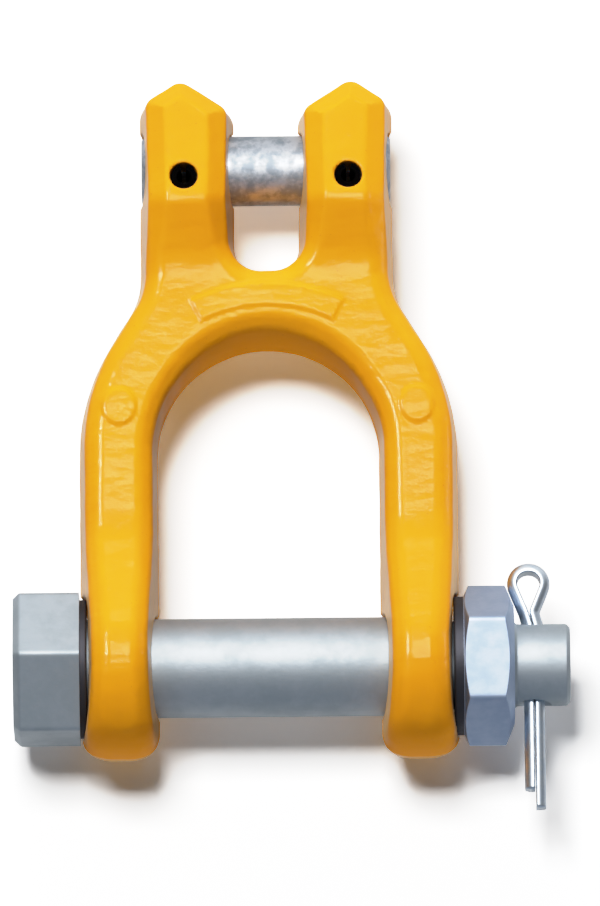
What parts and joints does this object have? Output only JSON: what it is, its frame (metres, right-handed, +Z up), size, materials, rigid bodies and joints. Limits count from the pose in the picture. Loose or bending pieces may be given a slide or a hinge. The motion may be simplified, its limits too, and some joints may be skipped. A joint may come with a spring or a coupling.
{
  "type": "clevis chain shackle",
  "caption": "Forged clevis shackle for lifting chain: load pin across a slotted head, long bow, and a hex bolt with thin nut and cotter pin through round eyes.",
  "frame": {"origin": "middle of the whole object's bounding box; the bolt's axis is 43.55 mm below it and the load line 4.10 mm to its -X side", "axes": "+Z up the load line from the bolt to the load pin, +X along the bolt from its head to its tip, -Y the front"},
  "size_m": [0.1066, 0.0374, 0.1432],
  "materials": {
    "yellow_paint": "glossy powder coat over a forged skin",
    "load_pin_steel": "dull mottled zinc plate",
    "spring_steel": "black oiled spring steel",
    "bolt_zinc": "satin zinc plate",
    "nut_zinc": "bright bluish zinc plate",
    "cotter_zinc": "bright zinc plate"
  },
  "bodies": {
    "shackle": {"forged_body": "yellow_paint", "load_pin": "load_pin_steel", "spring_pin_left": "spring_steel", "spring_pin_right": "spring_steel"},
    "bolt": {"safety_bolt": "bolt_zinc"},
    "nut": {"hex_nut": "nut_zinc"},
    "cotter": {"cotter_pin": "cotter_zinc"}
  },
  "joints": [
    {"name": "bolt_spin", "type": "hinge", "parent": "shackle", "child": "bolt", "pos_m": [-0.0041, 0, -0.04355], "axis": [1, 0, 0], "continuous": true},
    {"name": "nut_turn", "type": "hinge", "parent": "bolt", "child": "nut", "pos_m": [0.0374, 0, -0.04355], "axis": [1, 0, 0], "range_deg": [0, 430]},
    {"name": "cotter_pull", "type": "slide", "parent": "bolt", "child": "cotter", "axis": [0, 0, 1], "range_m": [0, 0.036]}
  ]
}
